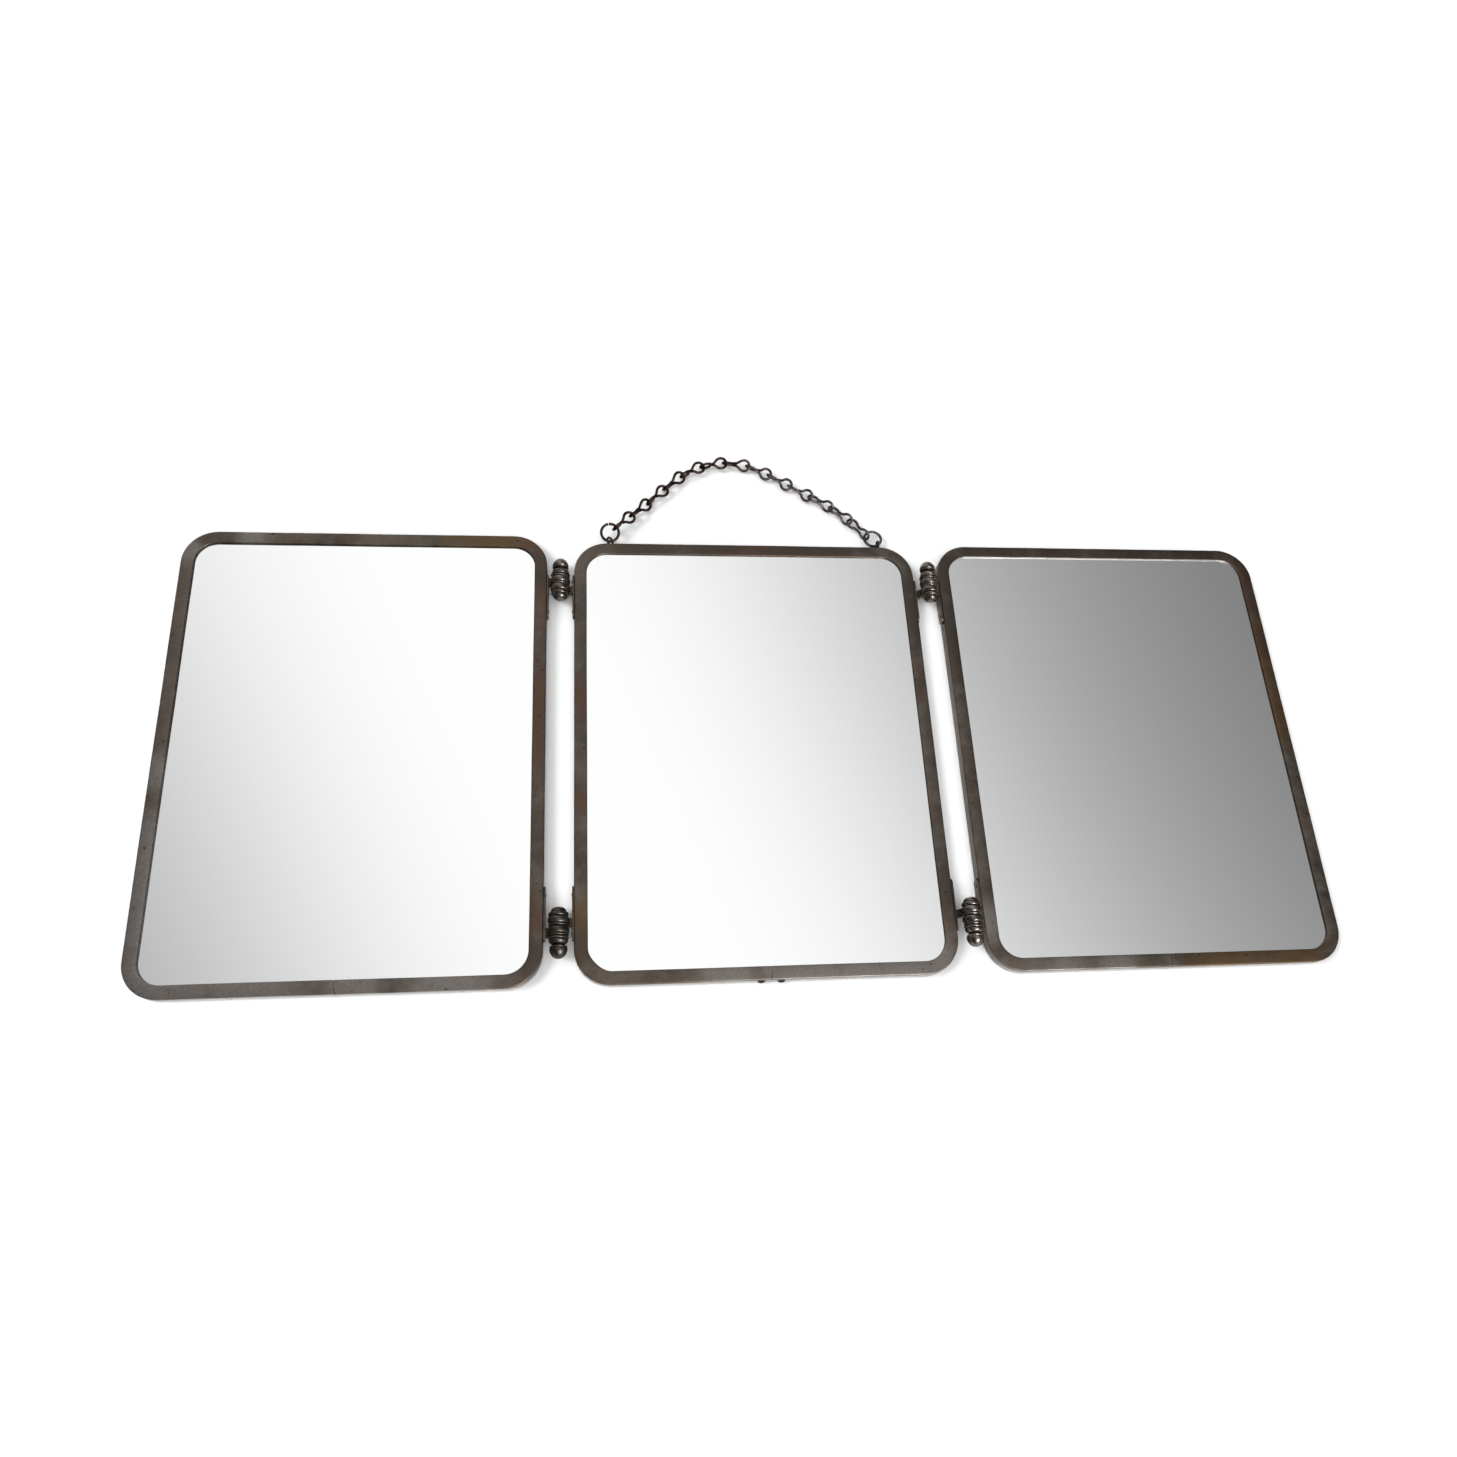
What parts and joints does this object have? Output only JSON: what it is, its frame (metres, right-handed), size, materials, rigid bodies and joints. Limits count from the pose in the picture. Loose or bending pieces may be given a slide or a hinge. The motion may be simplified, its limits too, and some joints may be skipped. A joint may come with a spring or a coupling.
{
  "type": "folding mirror",
  "caption": "Folding dressing mirror: framed mirror panels joined side by side by finial hinges, with a hanging chain on the middle panel's top edge.",
  "frame": {"origin": "on the surface it lies on, under the middle of the whole open mirror's box", "axes": "+X to the right along the row of panels, +Y towards the top edge and the chain, +Z out of the glass; the mirror lies open on its back"},
  "size_m": [0.631, 0.3184, 0.0172],
  "materials": {
    "nickelled_brass": "aged nickel plate worn to brown brass",
    "hinge_brass": "aged nickel plate, dark in the grooves",
    "mirror_glass": "silvered plate glass",
    "packing_board": "grey-brown strawboard",
    "back_sheet": "dull tinned sheet",
    "screw_steel": "blackened",
    "chain_wire": "dark aged wire"
  },
  "bodies": {
    "centre": {"centre_frame": "nickelled_brass", "centre_mirror_glass": "mirror_glass", "centre_packing_board": "packing_board", "centre_back_plate": "back_sheet", "centre_splice_plate": "nickelled_brass", "centre_splice_screw_left": "screw_steel", "centre_splice_screw_right": "screw_steel", "hinge_top_left_centre_leaf": "hinge_brass", "hinge_top_left_pin": "hinge_brass", "hinge_top_left_finial": "hinge_brass", "hinge_bottom_left_centre_leaf": "hinge_brass", "hinge_bottom_left_pin": "hinge_brass", "hinge_bottom_left_finial": "hinge_brass", "hinge_top_right_centre_leaf": "hinge_brass", "hinge_top_right_pin": "hinge_brass", "hinge_top_right_finial": "hinge_brass", "hinge_bottom_right_centre_leaf": "hinge_brass", "hinge_bottom_right_pin": "hinge_brass", "hinge_bottom_right_finial": "hinge_brass", "eyelet_left": "hinge_brass", "eyelet_right": "hinge_brass"},
    "left_wing": {"left_frame": "nickelled_brass", "left_mirror_glass": "mirror_glass", "left_packing_board": "packing_board", "left_back_plate": "back_sheet", "left_splice_plate": "nickelled_brass", "hinge_top_left_wing_leaf": "hinge_brass", "hinge_bottom_left_wing_leaf": "hinge_brass"},
    "right_wing": {"right_frame": "nickelled_brass", "right_mirror_glass": "mirror_glass", "right_packing_board": "packing_board", "right_back_plate": "back_sheet", "right_splice_plate": "nickelled_brass", "hinge_top_right_wing_leaf": "hinge_brass", "hinge_bottom_right_wing_leaf": "hinge_brass"},
    "chain": {"chain_ring_left": "chain_wire", "chain_ring_right": "chain_wire", "chain_link_01": "chain_wire", "chain_link_02": "chain_wire", "chain_link_03": "chain_wire", "chain_link_04": "chain_wire", "chain_link_05": "chain_wire", "chain_link_06": "chain_wire", "chain_link_07": "chain_wire", "chain_link_08": "chain_wire", "chain_link_09": "chain_wire", "chain_link_10": "chain_wire", "chain_link_11": "chain_wire", "chain_link_12": "chain_wire", "chain_link_13": "chain_wire"}
  },
  "joints": [
    {"name": "left_wing_fold", "type": "hinge", "parent": "centre", "child": "left_wing", "pos_m": [-0.10775, -0.03116, 0.00775], "axis": [0, 1, 0], "range_deg": [0, 180]},
    {"name": "right_wing_fold", "type": "hinge", "parent": "centre", "child": "right_wing", "pos_m": [0.10775, -0.03116, 0.01175], "axis": [0, -1, 0], "range_deg": [0, 180]},
    {"name": "chain_swing", "type": "hinge", "parent": "centre", "child": "chain", "pos_m": [0, 0.09904, 0.0041], "axis": [1, 0, 0], "range_deg": [0, 30]}
  ]
}
